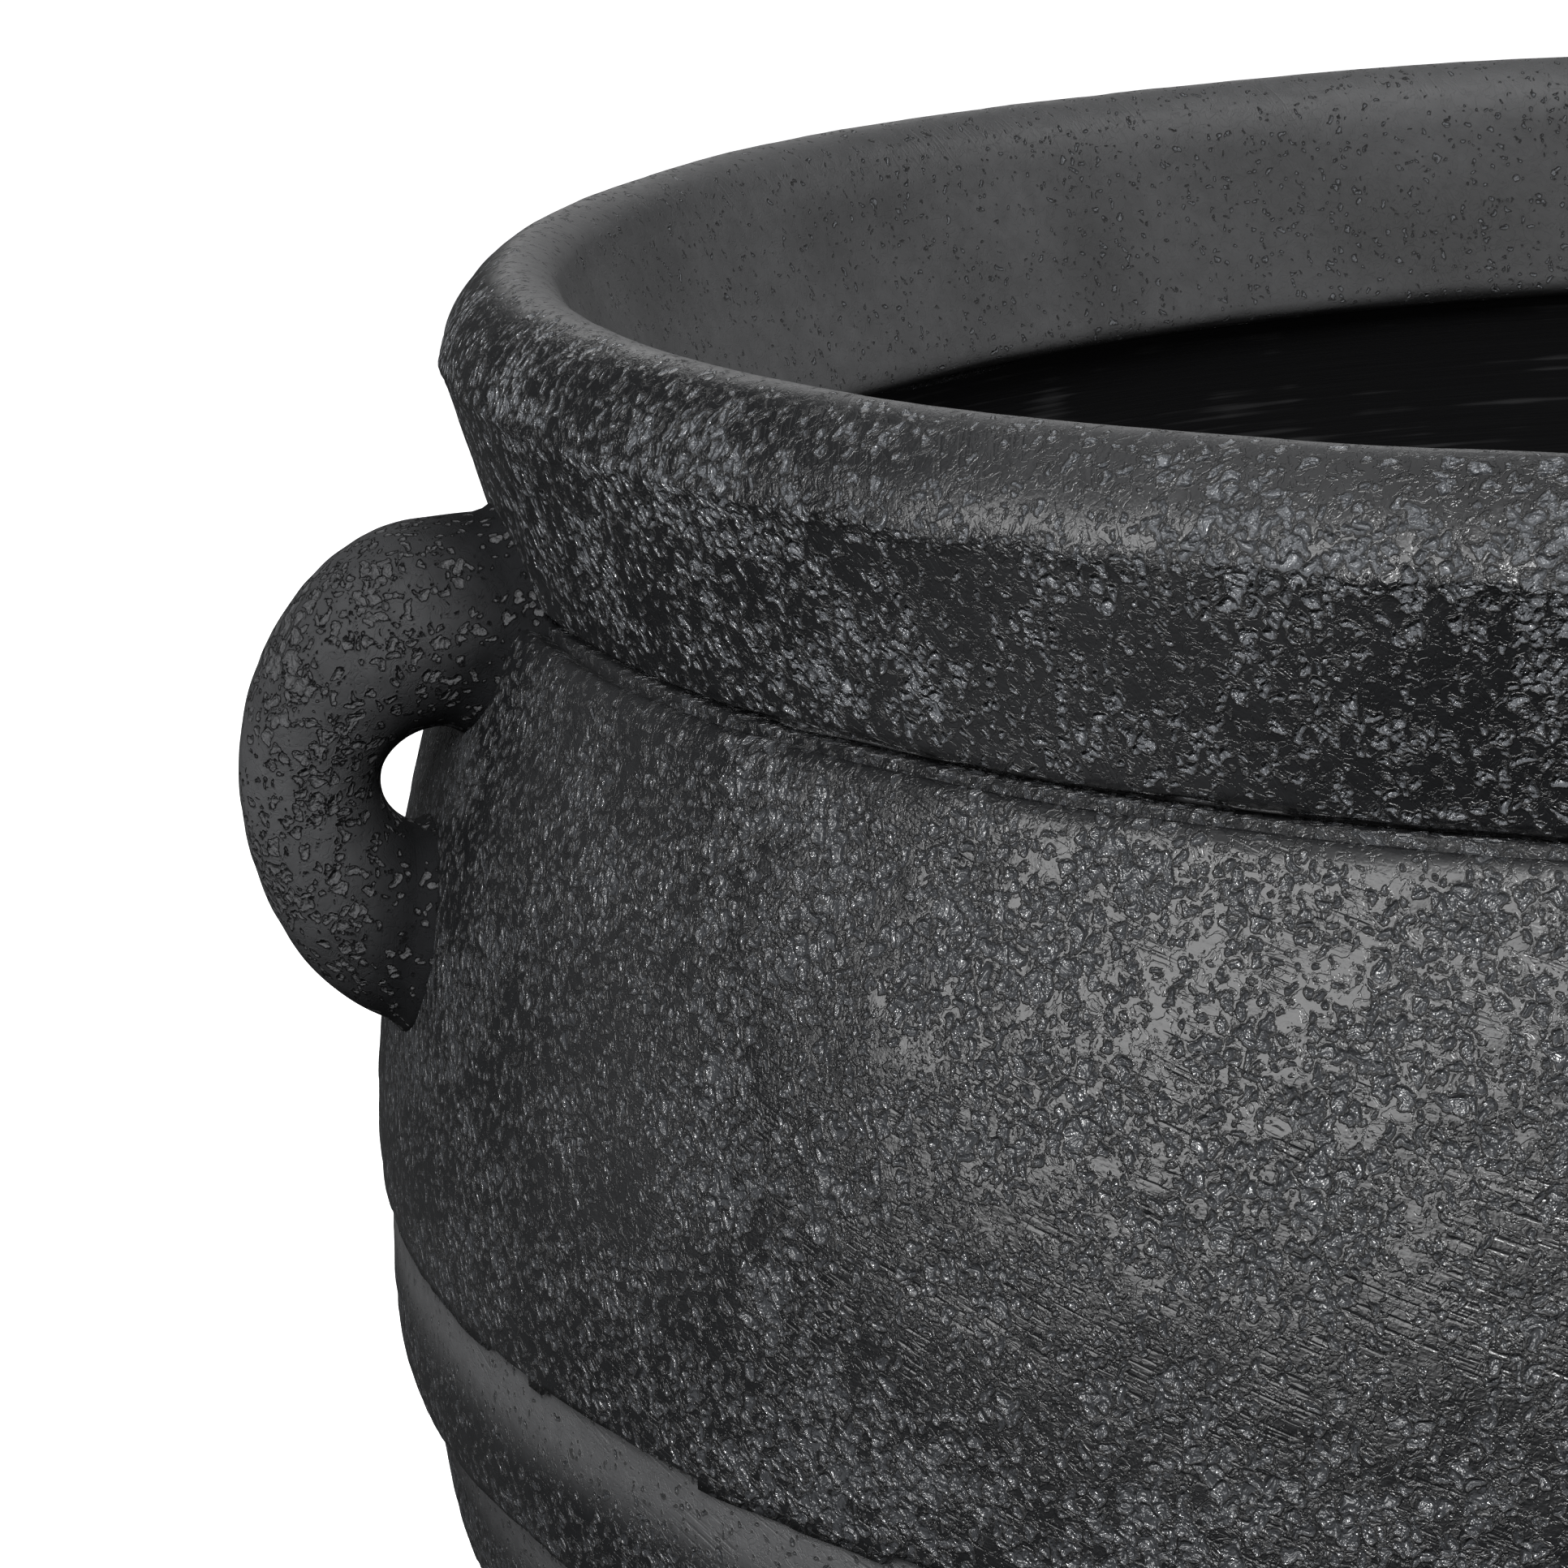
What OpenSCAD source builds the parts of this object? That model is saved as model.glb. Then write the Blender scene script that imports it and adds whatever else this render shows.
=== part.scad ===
// Cauldron planter: a thrown belly bowl, a separate neck collar luted on top of it and two pegged ear handles.
// Lengths are millimetres. The origin is on the ground under the middle, +Z is up, the handles lie along X.

/* [Belly bowl] */
// Overall height, from the ground to the crest of the rim
total_h = 352; // [330:1:420]
// Widest diameter of the belly
belly_d = 516; // [500:1:600]
// Height of the widest line above the ground
belly_h = 207; // [195:1:225]
// How far the neck seam, where bowl and collar meet, lies inside the widest line
neck_in = 27.5; // [22:0.5:33]
// Diameter of the flat foot ring, over its outer edge
foot_d = 300; // [260:1:360]
// Fullness of the belly curve, where 1 is a cone and 2 an ellipse
belly_fullness = 1.55; // [1.3:0.05:2]
// Thickness of the side wall
wall = 19; // [14:0.5:22]
// Thickness of the floor over the foot ring
floor_t = 24; // [16:0.5:32]
// Radius inside, between the wall and the floor
floor_round = 20; // [8:1:30]
// Depth of the hollow inside the foot ring
foot_hollow = 5; // [2:0.5:8]
// Width of the foot ring's flat
foot_ring_w = 44; // [34:1:60]

/* [Turned tiers] */
// How many tiers are turned into the lower belly, each set back under the edge above
tier_count = 4; // [1:1:5]
// Height of one tier
tier_h = 29; // [22:1:31]
// How far the lower edge of a tier stands out over the next one
tier_step = 4.2; // [1:0.2:5]
// Distance from the widest line down to the first edge
tier_drop = 5; // [2:1:14]

/* [Neck collar] */
// Height of the collar, from the seam to the crest
collar_h = 48.5; // [40:0.5:60]
// How far the lip edge stands out over the neck seam
lip_out = 8.8; // [6:0.2:14]
// Bevel under the collar's outer edge, which leaves a groove along the seam
seam_bevel = 1.6; // [0.8:0.2:2.6]
// Distance of the lip edge below the crest
lip_drop = 13.8; // [9:0.1:18]
// Distance of the crest line inside the neck seam
crest_in = 3.5; // [1:0.5:7]
// Radius inside the crest
crest_round = 9; // [5:0.5:12]
// Distance of the throat, the narrowest way in, inside the neck seam
throat_in = 27.5; // [24:0.5:35]
// Radius under the throat
throat_round = 4; // [2:0.5:6]
// Width of the tongue that keys the bowl into the collar
tongue_w = 6; // [4:0.5:8]
// Height of the tongue
tongue_h = 5; // [3:0.5:7]

/* [Ear handles] */
// Drop from the neck seam to the middle of a handle
handle_drop = 26.5; // [22:0.5:34]
// Height of a handle outside
handle_h = 83; // [70:1:92]
// How far a handle stands out from the wall
handle_out = 32.5; // [30:0.5:40]
// Thickness of the grip at the outermost point
handle_thick = 23; // [18:0.5:25]
// Width of the grip along the wall
handle_wide = 26; // [20:0.5:32]
// Share by which a handle widens towards its roots
handle_flare = 0.3; // [0:0.05:0.5]
// Height of the finger hole
hole_h = 16.5; // [12:0.5:22]
// Diameter of the pegs that tie a handle into the wall
peg_d = 10; // [7:0.5:12]
// Depth of the pegs in the wall
peg_depth = 11; // [7:0.5:12]
// Distance between the two pegs of a handle
peg_gap = 35; // [30:0.5:40]

/* [Coat, plug and pads] */
// Thickness of the sealing coat inside
coat_t = 1.2; // [0.8:0.1:2]
// Diameter of the drain hole
drain_d = 24; // [18:0.5:32]
// Width of the plug's flange round the hole
plug_rim = 8; // [5:0.5:12]
// Thickness of the plug's flange
plug_flange_t = 4; // [3:0.5:6]
// Diameter of the plug's knob
plug_knob_d = 15; // [12:0.5:17]
// Height of the plug's knob
plug_knob_h = 11; // [8:0.5:16]
// How many rubber pads stand under the foot ring
pad_count = 4; // [3:1:6]
// Diameter of a pad
pad_d = 28; // [20:1:32]
// Height of a pad
pad_t = 3; // [2:0.5:5]

/* [Fits] */
// Gap of a slip joint, filled with glue or slip
slip_gap = 0.1; // [0.05:0.05:0.2]
// Clearance round the tongue and the pegs
peg_clear = 0.2; // [0.1:0.05:0.4]
// Clearance between the drain hole and the plug, on the radius
plug_clear = 0.06; // [0.03:0.01:0.1]

/* [Hidden] */
$fn = 96;

clay_colour = "#2d2e30";
collar_colour = "#323335";
coat_colour = "#0d0d0e";
rubber_colour = "#1d1d1e";

// Main radii and heights
belly_r = belly_d / 2;
seam_r = belly_r - neck_in;
foot_r = foot_d / 2;
lip_r = seam_r + lip_out;
crest_r = seam_r - crest_in;
throat_r = seam_r - throat_in;
drain_r = drain_d / 2;
base_z = pad_t;
floor_z = base_z + floor_t;
seam_z = total_h - collar_h;
lip_z = total_h - lip_drop;
tier_top_z = belly_h - tier_drop;
tier_end_z = tier_top_z - tier_count * tier_h;
tongue_r = seam_r - wall / 2;

// Steps along the curves
foot_steps = 10;
belly_steps = 2;
shoulder_steps = 14;
round_steps = 8;
tier_shares = [0.04, 0.2, 0.4, 0.6, 0.8, 1];
tier_recess = 0.4;
tier_bend = 1.5;

// Handle, measured from the middle of its finger hole
handle_z = seam_z - handle_drop;
handle_axis_r = body_r(handle_z);
hole_out = handle_out - handle_thick;
root_len = 22;
loop_steps = 28;
section_sides = 24;
peg_root = 6;
peg_zs = [handle_z + peg_gap / 2, handle_z - peg_gap / 2];

// Plug and pads
stem_short = 1;
stem_chamfer = 1.5;
plug_bore_r = drain_r * 0.6;
plug_roof = 5;
knob_waist = 2;
rim_round = 1.5;
pad_bevel = 1;
pad_ring_r = foot_r - foot_ring_w / 2;

// Share of the bulge that is left at the share t of the way from the widest line
function bulge(t) = pow(max(0, 1 - pow(min(1, max(0, t)), belly_fullness)), 1 / belly_fullness);

// Radius of the plain turned body at the height z
function body_r(z) = z >= belly_h
    ? seam_r + (belly_r - seam_r) * bulge((z - belly_h) / (seam_z - belly_h))
    : foot_r + (belly_r - foot_r) * bulge((belly_h - z) / (belly_h - base_z));

// How far a tier stands out at the share u of its height, from the edge above down to its own edge
function tier_swell(u) = tier_step * (pow(sin(90 * u), tier_bend) - tier_recess);

// Points of an arc with the half axes a and b round c, from angle f to angle t
function arc(c, a, b, f, t, n = round_steps) = [for (i = [0 : n])
    let (w = f + (t - f) * i / n) [c[0] + a * cos(w), c[1] + b * sin(w)]];

// Outside of the bowl from the foot up to the seam, grown outwards by g
function bowl_side(g = 0) = concat(
    [for (i = [0 : foot_steps]) let (z = base_z + (tier_end_z - base_z) * pow(i / foot_steps, 2))
        [body_r(z) + g, z]],
    [for (k = [tier_count - 1 : -1 : 0], j = [len(tier_shares) - 1 : -1 : 0])
        let (u = tier_shares[j], z = tier_top_z - (k + u) * tier_h) [body_r(z) + tier_swell(u) + g, z]],
    [for (i = [0 : belly_steps]) let (z = tier_top_z + (belly_h - tier_top_z) * i / belly_steps)
        [body_r(z) + g, z]],
    [for (i = [shoulder_steps - 1 : -1 : 0]) let (z = seam_z - (seam_z - belly_h) * pow(i / shoulder_steps, 2))
        [body_r(z) + g, z]]);

// Outside of the collar from the seam up to the crest, grown outwards by g
function collar_side(g = 0) = arc([crest_r, lip_z], lip_r - crest_r + g, lip_drop + g, 0, 90);

// Inside of the bowl from the seam down to the drain hole, moved inwards by d
function bowl_inside(d = 0, hole_r = drain_r, top = seam_z) =
    let (low = floor_z + floor_round, corner_r = body_r(low) - wall - floor_round)
    concat(
        [for (i = [0 : shoulder_steps]) let (z = top - (top - belly_h) * pow(i / shoulder_steps, 2))
            [body_r(z) - wall - d, z]],
        [for (i = [1 : foot_steps - 1]) let (z = belly_h - (belly_h - low) * i / foot_steps)
            [body_r(z) - wall - d, z]],
        arc([corner_r, low], floor_round - d, floor_round - d, 0, -90),
        [[hole_r, floor_z + d]]);

// Underside of the collar, level but for the tongue's groove and the bevel at the outer edge
function collar_under() =
    let (
        groove_w = tongue_w + 2 * peg_clear,
        groove_z = seam_z + tongue_h + peg_clear,
        bevel_r = seam_r + lip_out * seam_bevel / (lip_z - seam_z))
    [[tongue_r - groove_w / 2, seam_z], [tongue_r - groove_w / 2, groove_z], [tongue_r + groove_w / 2, groove_z],
        [tongue_r + groove_w / 2, seam_z], [seam_r - seam_bevel, seam_z], [bevel_r, seam_z + seam_bevel]];

function reversed(list) = [for (i = [len(list) - 1 : -1 : 0]) list[i]];

module peg_sockets() {
    for (side = [0, 180], z = peg_zs)
        rotate([0, 0, side])
            translate([body_r(z) - peg_depth - peg_clear, 0, z])
                rotate([0, 90, 0])
                    cylinder(h = peg_depth + handle_out, d = peg_d + 2 * peg_clear);
}

module belly_bowl() {
    color(clay_colour)
        difference() {
            rotate_extrude()
                polygon(concat(
                    [[drain_r, base_z + foot_hollow], [foot_r - foot_ring_w - foot_hollow, base_z + foot_hollow],
                        [foot_r - foot_ring_w, base_z]],
                    bowl_side(),
                    [[tongue_r + tongue_w / 2, seam_z], [tongue_r + tongue_w / 2, seam_z + tongue_h],
                        [tongue_r - tongue_w / 2, seam_z + tongue_h], [tongue_r - tongue_w / 2, seam_z]],
                    bowl_inside()));
            peg_sockets();
        }
}

module neck_collar() {
    color(collar_colour)
        difference() {
            rotate_extrude()
                polygon(concat(
                    collar_under(),
                    collar_side(),
                    arc([crest_r, total_h - crest_round], crest_round, crest_round, 100, 150),
                    arc([throat_r + throat_round, seam_z + throat_round], throat_round, throat_round, 180, 270)));
            peg_sockets();
        }
}

// One ring of points of the handle: a is the angle round the finger hole, back the distance behind its middle
function handle_ring(a, back) =
    let (
        outer = [handle_axis_r - back + handle_out * cos(a), handle_z + handle_h / 2 * sin(a)],
        inner = [handle_axis_r - back + hole_out * cos(a), handle_z + hole_h / 2 * sin(a)],
        middle = (outer + inner) / 2,
        half = (outer - inner) / 2,
        wide = handle_wide / 2 * (1 + handle_flare * pow(sin(a), 2)))
    [for (i = [0 : section_sides - 1]) let (w = 360 * i / section_sides)
        [middle[0] + half[0] * cos(w), wide * sin(w), middle[1] + half[1] * cos(w)]];

module handle_loop() {
    rings = concat(
        [handle_ring(90, root_len)],
        [for (i = [0 : loop_steps]) handle_ring(90 - 180 * i / loop_steps, 0)],
        [handle_ring(-90, root_len)]);
    last = len(rings) - 1;
    polyhedron(
        points = [for (ring = rings) each ring],
        faces = concat(
            [[for (i = [section_sides - 1 : -1 : 0]) i]],
            [for (k = [0 : last - 1], i = [0 : section_sides - 1])
                let (n = (i + 1) % section_sides, a = k * section_sides, b = a + section_sides)
                each [[a + i, b + n, b + i], [a + i, a + n, b + n]]],
            [[for (i = [0 : section_sides - 1]) last * section_sides + i]]));
}

module ear_handle(side) {
    color(clay_colour)
        rotate([0, 0, side]) {
            difference() {
                handle_loop();
                rotate_extrude()
                    polygon(concat([[0, base_z]], bowl_side(slip_gap), collar_side(slip_gap),
                        [[0, total_h + slip_gap]]));
            }
            for (z = peg_zs)
                translate([body_r(z) - peg_depth, 0, z])
                    rotate([0, 90, 0])
                        cylinder(h = peg_depth + peg_root, d = peg_d);
        }
}

module inner_coat() {
    hole_r = drain_r + coat_t;
    top = seam_z - slip_gap;
    color(coat_colour)
        rotate_extrude()
            polygon(concat(
                bowl_inside(slip_gap, hole_r, top),
                reversed(bowl_inside(slip_gap + coat_t, hole_r, top))));
}

module drain_plug() {
    seat_z = floor_z + slip_gap + coat_t;
    stem_r = drain_r - plug_clear;
    stem_z = base_z + foot_hollow + stem_short;
    flange_r = drain_r + plug_rim;
    flange_z = seat_z + plug_flange_t;
    knob_r = plug_knob_d / 2;
    knob_z = flange_z + plug_knob_h;
    color(rubber_colour)
        rotate_extrude()
            polygon(concat(
                [[0, seat_z + plug_flange_t - plug_roof], [plug_bore_r, seat_z + plug_flange_t - plug_roof],
                    [plug_bore_r, stem_z], [stem_r - stem_chamfer, stem_z], [stem_r, stem_z + stem_chamfer],
                    [stem_r, seat_z], [flange_r, seat_z]],
                arc([flange_r - rim_round, flange_z - rim_round], rim_round, rim_round, 0, 90),
                [[knob_r - knob_waist, flange_z]],
                arc([knob_r - knob_waist, knob_z - plug_knob_h / 3], knob_waist, plug_knob_h / 3, -60, 90),
                [[0, knob_z]]));
}

module foot_pad(i) {
    color(rubber_colour)
        rotate([0, 0, 360 * (i - 0.5) / pad_count])
            translate([pad_ring_r, 0, 0]) {
                cylinder(h = pad_bevel, d1 = pad_d - 2 * pad_bevel, d2 = pad_d);
                translate([0, 0, pad_bevel]) cylinder(h = pad_t - pad_bevel, d = pad_d);
            }
}

belly_bowl();
neck_collar();
ear_handle(180);  // left_handle
ear_handle(0);  // right_handle
inner_coat();
drain_plug();
for (i = [1 : pad_count])
    foot_pad(i);
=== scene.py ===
"""Looks of the cauldron planter: pitted charcoal clay, a black sealing coat, a rubber plug and rubber pads.

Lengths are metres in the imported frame, unless a name or a comment says millimetres. The origin is on the
ground under the middle, +Z is up and the handles lie along X.
"""

import itertools
import math

import bpy
import numpy as np
from mathutils import Matrix, Vector


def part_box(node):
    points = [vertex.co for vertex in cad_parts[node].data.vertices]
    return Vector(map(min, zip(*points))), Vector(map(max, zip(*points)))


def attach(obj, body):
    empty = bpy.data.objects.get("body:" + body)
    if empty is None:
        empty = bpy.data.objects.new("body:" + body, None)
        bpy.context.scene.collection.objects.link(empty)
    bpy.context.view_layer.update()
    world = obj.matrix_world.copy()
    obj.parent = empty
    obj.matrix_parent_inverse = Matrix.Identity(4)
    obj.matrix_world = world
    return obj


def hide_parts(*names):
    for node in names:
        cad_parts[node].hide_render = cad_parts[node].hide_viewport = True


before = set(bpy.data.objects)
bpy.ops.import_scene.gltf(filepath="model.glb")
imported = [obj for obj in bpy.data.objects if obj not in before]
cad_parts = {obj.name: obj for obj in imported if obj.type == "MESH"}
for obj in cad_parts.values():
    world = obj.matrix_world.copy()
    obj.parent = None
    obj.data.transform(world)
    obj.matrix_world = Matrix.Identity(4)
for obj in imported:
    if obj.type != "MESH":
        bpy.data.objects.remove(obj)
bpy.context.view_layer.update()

MM = 0.001
TURN = 2 * math.pi

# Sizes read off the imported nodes
bowl_low, bowl_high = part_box("belly_bowl")
collar_low, collar_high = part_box("neck_collar")
coat_low, coat_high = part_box("inner_coat")
plug_low, plug_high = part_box("drain_plug")
pad_low, pad_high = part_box("foot_pad_1")
BELLY_R = bowl_high.x
BASE_Z = bowl_low.z
SEAM_Z = collar_low.z
CREST_Z = collar_high.z
LIP_R = collar_high.x
COAT_FLOOR_Z = coat_low.z
PAD_H = pad_high.z - pad_low.z
PAD_NAMES = [f"foot_pad_{n}" for n in (1, 2, 3, 4)]

# Sizes that repeat the part's source
BELLY_Z = 207 * MM
FOOT_R = 150 * MM
FULLNESS = 1.55
WALL = 19 * MM
FLOOR_ROUND = 20 * MM
FOOT_HOLLOW = 5 * MM
FOOT_RING_W = 44 * MM
TIER_COUNT = 4
TIER_H = 29 * MM
TIER_STEP = 4.2 * MM
TIER_TOP_Z = BELLY_Z - 5 * MM
TIER_RECESS = 0.4
TIER_BEND = 1.5
SEAM_R = BELLY_R - 27.5 * MM
CREST_R = SEAM_R - 3.5 * MM
LIP_Z = CREST_Z - 13.8 * MM
CREST_ROUND = 9 * MM
THROAT_R = SEAM_R - 27.5 * MM
THROAT_ROUND = 4 * MM
EAR_Z = SEAM_Z - 26.5 * MM
EAR_H = 83 * MM
EAR_OUT = 32.5 * MM
EAR_THICK = 23 * MM
EAR_WIDE = 26 * MM
EAR_FLARE = 0.3
EAR_TOP_BACK, EAR_LOW_BACK = 21 * MM, 6 * MM
HOLE_H = 16.5 * MM
COAT_T = 1.2 * MM
DRAIN_R = 12 * MM
PLUG_FLANGE_T = 4 * MM
PLUG_ROOF = 5 * MM
KNOB_R = 7.5 * MM
KNOB_H = 11 * MM
KNOB_WAIST = 2 * MM
STEM_BORE_R = 0.6 * DRAIN_R
STEM_PLAY = 0.06 * MM
RUBBER_ROUND = 1.5 * MM

# Relief that the source leaves out, in millimetres
CRUMB_DEEP, CRUMB_UNEVEN = 0.28, 0.16
GROOVE_DEEP, GROOVE_UNEVEN, GROOVE_WIDE = 1.9, 0.5, 1.4
SLIP_T, SLIP_REACH = 2.0, 13
SMEAR_BELOW, SMEAR_WIDE = 2.6, 1.5
RIDGE_H, RIDGE_WIDE = 0.8, 1.2
DRAWN_T, DRAWN_REACH = 1.4, 3.5
MOULD_LINE_H, MOULD_LINE_WIDE = 0.12, 0.35

# Layers of waves: the size in millimetres, the strength and the seed of each
HAND_WAVES = ((70, 0.45, 11), (19, 0.2, 12), (6, 0.08, 13))
CRUMB_CLUSTERS = ((19, 0.7, 14), (9, 0.9, 15), (4, 0.6, 16))

# The lip's curve runs squarer than a quarter ellipse, and its ridge was wiped off round this azimuth
LIP_POWER = 1.3
WIPED_AT, WIPED_SPREAD = math.radians(158), 0.35

# The side near the photograph's camera is meshed more finely: its ends and both steps, in degrees
NEAR_FROM, NEAR_TO = 150, 252
NEAR_STEP, FAR_STEP = 0.25, 0.5

# Mesh steps in millimetres that more than one line of the outlines has
FINE_STEP, LIP_STEP, SLOPE_STEP, HIDDEN_STEP, INSIDE_STEP = 0.55, 1.1, 1.6, 4, 9

# How many heights the wall's outside and inside are worked out at before they are meshed
OUTSIDE_COUNT, INSIDE_COUNT = 1500, 200

# What a clay mesh tells its material at each point: how crumbled, torn and dull its skin is, and how much
# of the lighter tint it takes, which paints drier clay and also painted light and shade
WEAR = ("crumble", "dry_and_lit", "torn", "dull")


def clamp(x):
    return np.clip(x, 0.0, 1.0)


def smooth(low, high, x):
    """0 below low, 1 above high and an even curve between."""
    t = clamp((x - low) / (high - low))
    return t * t * (3 - 2 * t)


def peak(off, width):
    """1 where off is 0, falling to almost nothing at twice the width."""
    return np.exp(-((off / width) ** 2))


# The pot's own outline


def bulge(t):
    return np.maximum(0.0, 1 - clamp(t) ** FULLNESS) ** (1 / FULLNESS)


def tier_share(z):
    """Where the height z lies in its tier.

    0 is just under the edge above, 1 is at the tier's own edge, and -1 is off the tiers.
    """
    share = (TIER_TOP_Z - z) / TIER_H
    return np.where((share >= 0) & (share < TIER_COUNT), share % 1, -1)


def tier_swell(z):
    """How far the turned tiers stand out at the height z."""
    u = tier_share(z)
    out = np.sin(math.pi / 2 * clamp(u)) ** TIER_BEND
    return np.where(u >= 0, TIER_STEP * (out - TIER_RECESS), 0.0)


def body_radius(z):
    """Radius of the plain turned body at the height z, up to the seam."""
    z = np.asarray(z, float)
    above = SEAM_R + (BELLY_R - SEAM_R) * bulge((z - BELLY_Z) / (SEAM_Z - BELLY_Z))
    below = FOOT_R + (BELLY_R - FOOT_R) * bulge((BELLY_Z - z) / (BELLY_Z - BASE_Z))
    return np.where(z >= BELLY_Z, above, below)


def wall_radius(z):
    """Radius of the outside of the pot at the height z, up to the lip edge."""
    z = np.asarray(z, float)
    face = SEAM_R + (LIP_R - SEAM_R) * clamp((z - SEAM_Z) / (LIP_Z - SEAM_Z))
    return np.where(z > SEAM_Z, face, body_radius(z) + tier_swell(z))


def arc(centre, wide, high, start, end, count=24):
    angles = np.radians(np.linspace(start, end, count))
    return np.column_stack([centre[0] + wide * np.cos(angles), centre[1] + high * np.sin(angles)])


def rounding(centre, radius, start, end, count=24):
    """An arc of a circle."""
    return arc(centre, radius, radius, start, end, count)


def walk(points, step):
    """Points at even steps along a line of points, both ends kept."""
    points = np.asarray(points, float)
    along = np.concatenate([[0], np.cumsum(np.linalg.norm(np.diff(points, axis=0), axis=1))])
    stops = np.linspace(0, along[-1], max(2, round(along[-1] / step) + 1))
    return np.column_stack([np.interp(stops, along, points[:, k]) for k in (0, 1)])


# Randomness that is the same on every run

CELL_PRIMES = np.array([73856093, 19349663, 83492791])
SEED_PRIME, MIX_PRIME = 2654435761, 1274126177
DICE_MASK = 0xFFFFF


def dice(cells, seed):
    """One number from 0 to 1 for each whole-numbered cell."""
    mixed = np.bitwise_xor.reduce(cells * CELL_PRIMES, axis=1) ^ seed * SEED_PRIME
    mixed = (mixed ^ (mixed >> 13)) * MIX_PRIME
    return ((mixed ^ (mixed >> 16)) & DICE_MASK) / DICE_MASK


def waves(points, size, seed):
    """Smooth random waves from -1 to 1, one about every size millimetres."""
    spot = points / (size * MM)
    base = np.floor(spot).astype(np.int64)
    part = spot - base
    part = part * part * (3 - 2 * part)
    total = np.zeros(len(points))
    for corner in itertools.product((0, 1), repeat=3):
        share = np.prod(np.where(corner, part, 1 - part), axis=1)
        total += share * dice(base + np.array(corner), seed)
    return 2 * total - 1


def layered(points, layers):
    return sum(strength * waves(points, size, seed) for size, strength, seed in layers)


def crumbled(points, usual):
    """How far the fired skin has crumbled: 0 where it is whole, 1 in the middle of a cluster of pits."""
    return clamp(usual + 0.4 * layered(points, CRUMB_CLUSTERS))


# Meshes


def make_piece(name, points, faces, maps, wear, node_name, material, body="pot"):
    """A smooth mesh object that rides on a body, stands for a CAD node and wears a material.

    maps are its flat maps by name, one corner after another. wear has the values of WEAR in that order, one
    for each point, and may stop early.
    """
    mesh = bpy.data.meshes.new(name)
    mesh.vertices.add(len(points))
    mesh.vertices.foreach_set("co", np.asarray(points, np.float32).ravel())
    mesh.loops.add(faces.size)
    mesh.loops.foreach_set("vertex_index", faces.astype(np.int32).ravel())
    mesh.polygons.add(len(faces))
    mesh.polygons.foreach_set("loop_start", np.arange(0, faces.size, faces.shape[1], dtype=np.int32))
    mesh.polygons.foreach_set("use_smooth", np.ones(len(faces), bool))
    mesh.update(calc_edges=True)
    for map_name, flat in maps.items():
        layer = mesh.uv_layers.new(name=map_name)
        layer.data.foreach_set("uv", np.asarray(flat, np.float32).ravel())
    for word, share in zip(WEAR, wear):
        attribute = mesh.attributes.new(word, "FLOAT", "POINT")
        attribute.data.foreach_set("value", share.astype(np.float32))
    mesh.materials.append(material)
    piece = bpy.data.objects.new(name, mesh)
    bpy.context.scene.collection.objects.link(piece)
    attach(piece, body)
    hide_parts(node_name)
    return piece


def grid_faces(rows, columns, closed_rows):
    """Quads of a grid whose columns run round and close, and whose rows may close as well."""
    last = rows if closed_rows else rows - 1
    i, j = np.meshgrid(np.arange(last), np.arange(columns), indexing="ij")
    n, m = (i + 1) % rows, (j + 1) % columns
    corners = [i * columns + j, i * columns + m, n * columns + m, n * columns + j]
    return np.stack(corners, -1).reshape(-1, 4)


def grid_maps(along, across):
    """Two flat maps of that grid, from the lengths along its rows and across its columns, in metres.

    OFBake cuts it into two strips that lie one over the other, so that it stays about square, each with a
    margin above and below. brush is in millimetres.
    """
    margin = 0.01
    rows, columns = len(along) - 1, len(across) - 1
    i, j = (k.ravel() for k in np.meshgrid(np.arange(rows), np.arange(columns), indexing="ij"))
    rising = margin + (1 - 2 * margin) * (along / along[-1])
    turning = across / across[-1]
    half = turning[j] + turning[j + 1] >= 1
    corners = [(i, j), (i, j + 1), (i + 1, j + 1), (i + 1, j)]
    baked = [np.stack([2 * turning[b] - half, (rising[a] + half) / 2], -1) for a, b in corners]
    brushed = [np.stack([across[b], along[a]], -1) / MM for a, b in corners]
    return {"OFBake": np.stack(baked, 1), "brush": np.stack(brushed, 1)}


def round_angles(near=NEAR_STEP, far=FAR_STEP):
    """Angles round the pot in degrees, close together on the near side."""
    away = 360 - NEAR_TO + NEAR_FROM
    rest = np.linspace(NEAR_TO, NEAR_TO + away, round(away / far), endpoint=False)
    return np.concatenate([np.arange(NEAR_FROM, NEAR_TO, near), rest])


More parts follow.
